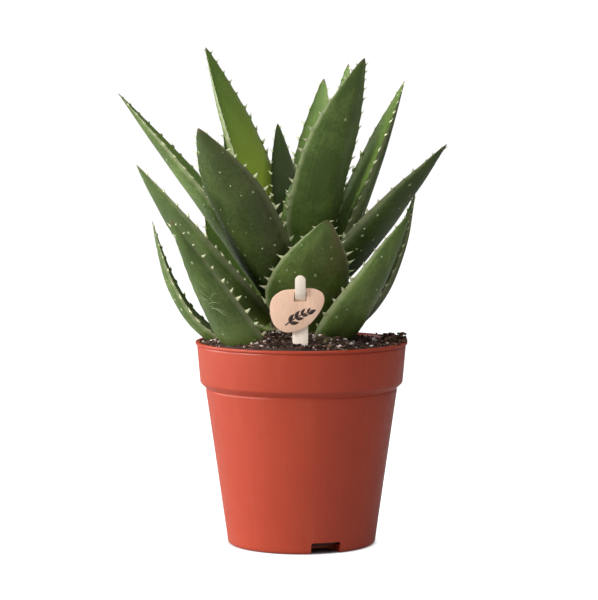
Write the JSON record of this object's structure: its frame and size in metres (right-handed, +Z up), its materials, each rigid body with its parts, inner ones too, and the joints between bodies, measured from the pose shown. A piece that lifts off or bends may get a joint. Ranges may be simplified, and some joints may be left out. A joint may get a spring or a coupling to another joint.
{
  "type": "potted aloe plant",
  "caption": "Potted aloe: thick toothed leaves in a rosette on a short stem, rooted in soil in a tapered plastic nursery pot, with a wooden plant label.",
  "frame": {"origin": "centre of the pot's foot, in the plane that the pot stands on", "axes": "+Z up along the pot's axis, -Y to the front where the label stands, +X to the right seen from the front"},
  "size_m": [0.1275, 0.1158, 0.1952],
  "materials": {
    "pot": "moulded satin",
    "soil": "loose and damp",
    "stem": "matte",
    "leaf": "waxy satin",
    "stick_wood": "raw, fine-sanded",
    "tag_wood": "raw, fine-sanded, printed"
  },
  "bodies": {
    "root": {"pot": "pot", "soil": "soil", "stem": "stem", "leaf_low_left": "leaf", "leaf_low_front_left": "leaf", "leaf_low_front": "leaf", "leaf_low_front_right": "leaf", "leaf_low_right": "leaf", "leaf_low_back_right": "leaf", "leaf_low_back_left": "leaf", "leaf_middle_front_left": "leaf", "leaf_middle_front_right": "leaf", "leaf_middle_left": "leaf", "leaf_tall_front_left": "leaf", "leaf_middle_right": "leaf", "leaf_middle_back_right": "leaf", "leaf_middle_back": "leaf", "leaf_middle_back_left": "leaf", "leaf_tall_right": "leaf", "leaf_tall_left": "leaf", "leaf_inner_back_right": "leaf", "leaf_inner_back": "leaf", "leaf_slender_back": "leaf", "heart_leaf_front": "leaf", "heart_leaf_right": "leaf", "label_stick": "stick_wood", "label_tag": "tag_wood"}
  },
  "joints": []
}
